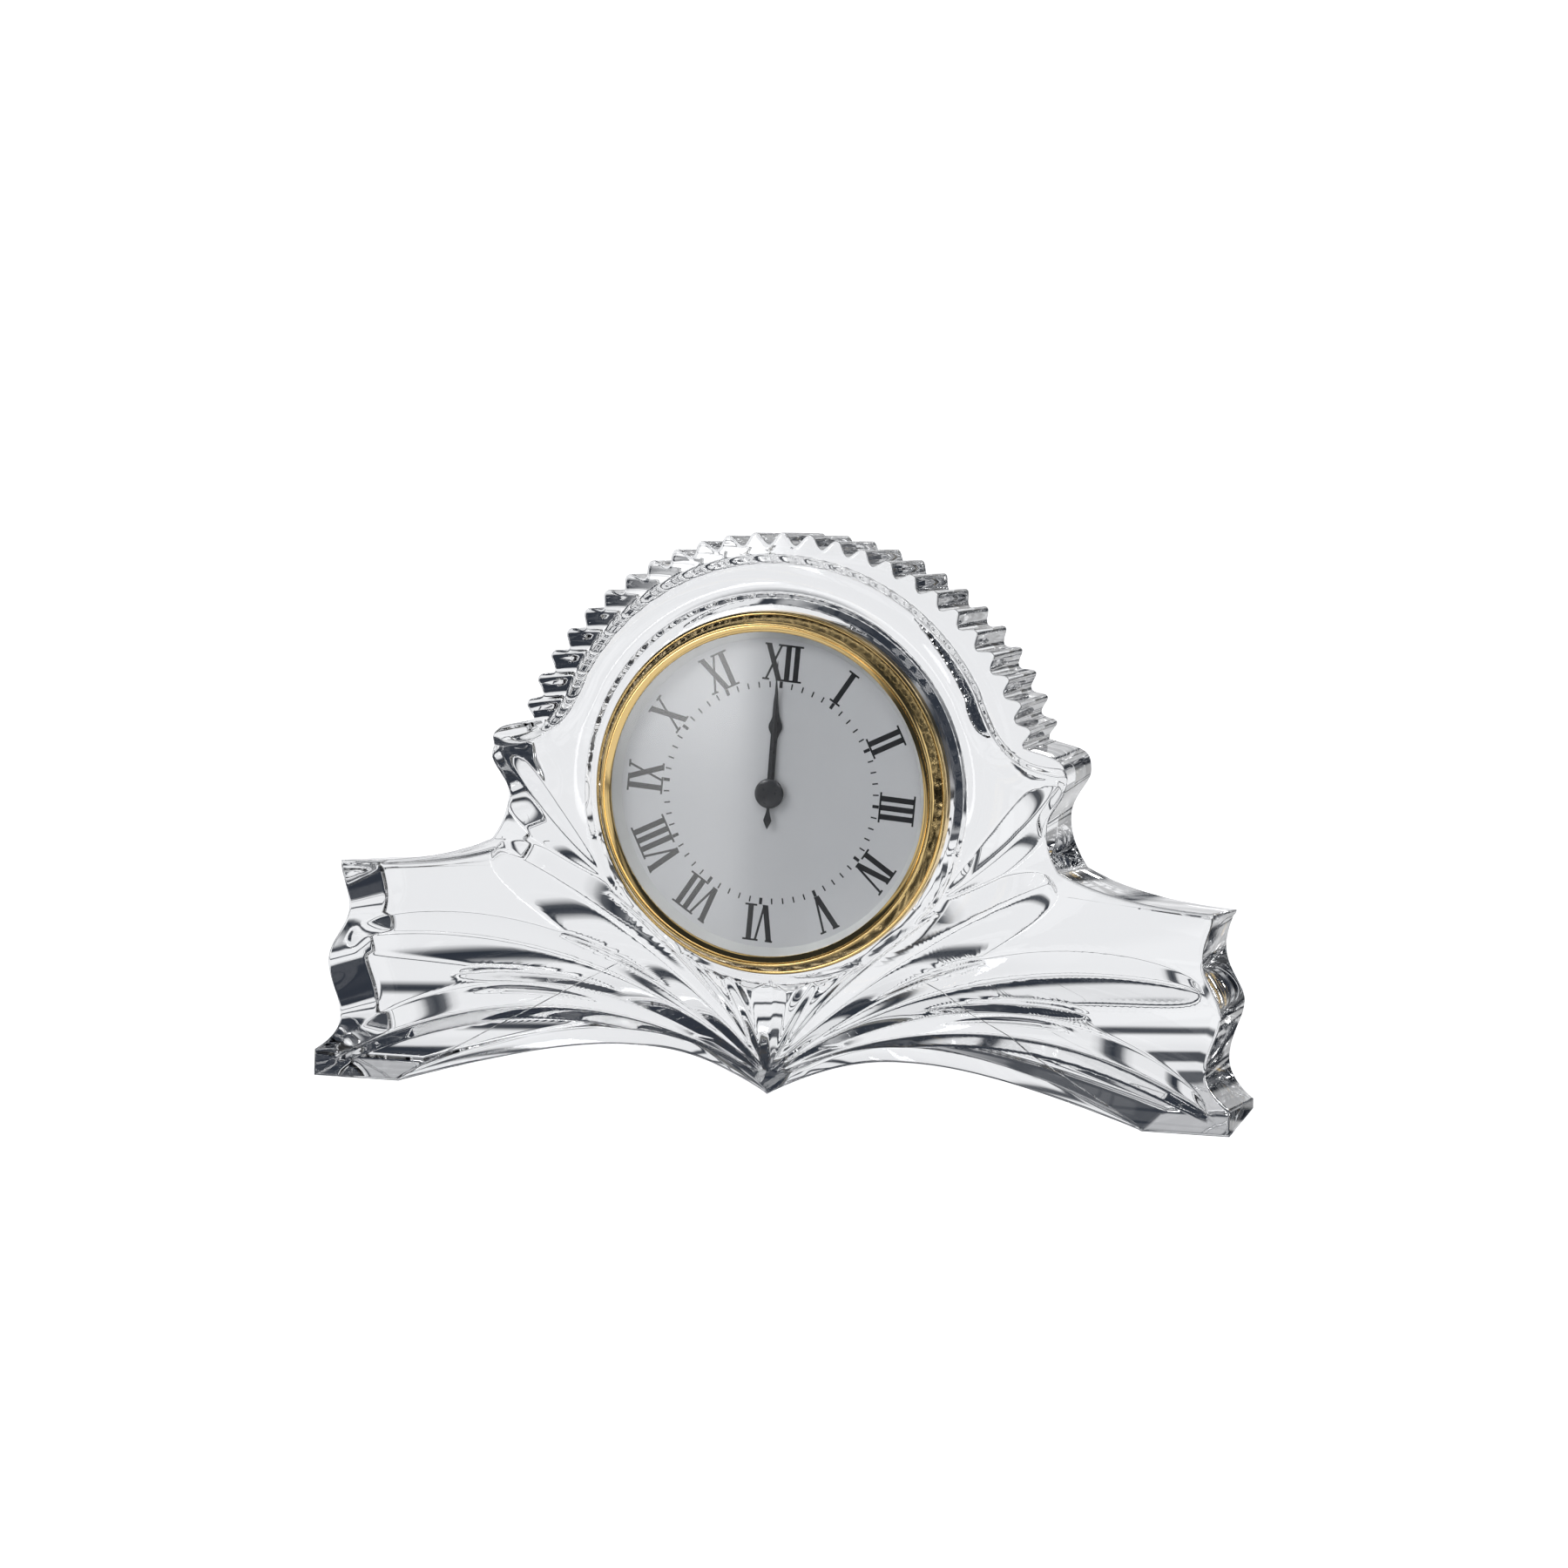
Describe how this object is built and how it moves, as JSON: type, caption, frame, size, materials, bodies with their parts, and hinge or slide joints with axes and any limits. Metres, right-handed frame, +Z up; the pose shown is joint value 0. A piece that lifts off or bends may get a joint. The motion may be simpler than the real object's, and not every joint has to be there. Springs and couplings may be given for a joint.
{
  "type": "crystal desk clock",
  "caption": "Pressed crystal desk clock: toothed dome over spread scalloped wings with leaf cuts, leaning on two feet, and a round brass-rimmed quartz insert.",
  "frame": {"origin": "middle of the clock's footprint box on the plane it stands on", "axes": "+X to the right as seen from the front, +Y to the back, +Z up"},
  "size_m": [0.225, 0.0498, 0.135],
  "materials": {
    "crystal": "clear pressed lead crystal, fire polished",
    "grip_rubber": "soft matt ribbed ring",
    "can_plastic": "plain moulded plastic",
    "brass": "polished and lacquered brass",
    "lens_glass": "flat clear glass",
    "silver_grey": "satin silver grey",
    "dial_silver": "satin silver white with black printed hours",
    "hand_black": "satin black",
    "movement_plastic": "natural moulded plastic",
    "wheel_plastic": "natural acetal",
    "magnet": "sintered magnet",
    "soft_iron": "bright stamped iron",
    "copper": "enamelled copper wire",
    "board": "green lacquered board",
    "plated": "nickel plated",
    "cell_jacket": "plain printed jacket",
    "knob_plastic": "moulded, fluted edge",
    "cover_plastic": "plain moulded plastic"
  },
  "bodies": {
    "crystal": {"crystal": "crystal"},
    "insert": {"grip_ring": "grip_rubber", "can": "can_plastic", "bezel": "brass", "lens": "lens_glass", "rehaut": "silver_grey", "dial": "dial_silver", "front_plate": "movement_plastic", "bridge": "movement_plastic", "stator": "soft_iron", "coil": "copper", "circuit_board": "board", "quartz_can": "plated", "contact_plus": "plated", "contact_minus": "plated", "cell": "cell_jacket", "rear_cover": "cover_plastic"},
    "hour": {"hour_hand": "hand_black", "hour_wheel": "wheel_plastic"},
    "minute": {"minute_hand": "hand_black", "minute_wheel": "wheel_plastic"},
    "seconds": {"seconds_hand": "hand_black", "seconds_wheel": "wheel_plastic"},
    "reversing": {"reversing_wheel": "wheel_plastic"},
    "third": {"third_wheel": "wheel_plastic"},
    "step": {"step_wheel": "wheel_plastic"},
    "rotor": {"rotor": "magnet"},
    "knob": {"setting_knob": "knob_plastic"},
    "cell_cover": {"cell_cover": "cover_plastic"}
  },
  "joints": [
    {"name": "insert_pull", "type": "slide", "parent": "crystal", "child": "insert", "axis": [0, -0.9968, 0.0802], "range_m": [0, 0.03]},
    {"name": "seconds_turn", "type": "hinge", "parent": "insert", "child": "seconds", "pos_m": [0, -0.00403, 0.07356], "axis": [0, 0.9968, -0.0802], "continuous": true},
    {"name": "minute_turn", "type": "hinge", "parent": "insert", "child": "minute", "pos_m": [0, -0.00403, 0.07356], "axis": [0, 0.9968, -0.0802], "continuous": true},
    {"name": "hour_turn", "type": "hinge", "parent": "insert", "child": "hour", "pos_m": [0, -0.00403, 0.07356], "axis": [0, 0.9968, -0.0802], "continuous": true},
    {"name": "reversing_turn", "type": "hinge", "parent": "insert", "child": "reversing", "pos_m": [0.0097, -0.00347, 0.0806], "axis": [0, 0.9968, -0.0802], "continuous": true},
    {"name": "third_turn", "type": "hinge", "parent": "insert", "child": "third", "pos_m": [-0.00339, -0.00309, 0.08528], "axis": [0, 0.9968, -0.0802], "continuous": true},
    {"name": "step_turn", "type": "hinge", "parent": "insert", "child": "step", "pos_m": [-0.01153, -0.0043, 0.07024], "axis": [0, 0.9968, -0.0802], "continuous": true},
    {"name": "rotor_turn", "type": "hinge", "parent": "insert", "child": "rotor", "pos_m": [-0.0196, -0.00449, 0.06792], "axis": [0, 0.9968, -0.0802], "continuous": true},
    {"name": "knob_turn", "type": "hinge", "parent": "insert", "child": "knob", "pos_m": [0.02123, -0.0032, 0.08392], "axis": [0, 0.9968, -0.0802], "continuous": true},
    {"name": "cell_cover_pull", "type": "slide", "parent": "insert", "child": "cell_cover", "axis": [0, 0.9968, -0.0802], "range_m": [0, 0.02]}
  ],
  "couplings": [
    {"joint": "minute_turn", "follows": "seconds_turn", "ratio": 0.016667},
    {"joint": "hour_turn", "follows": "seconds_turn", "ratio": 0.0013889},
    {"joint": "third_turn", "follows": "seconds_turn", "ratio": -0.13333},
    {"joint": "reversing_turn", "follows": "seconds_turn", "ratio": -0.0055556},
    {"joint": "knob_turn", "follows": "seconds_turn", "ratio": 0.016667},
    {"joint": "step_turn", "follows": "seconds_turn", "ratio": -5},
    {"joint": "rotor_turn", "follows": "seconds_turn", "ratio": 30}
  ]
}
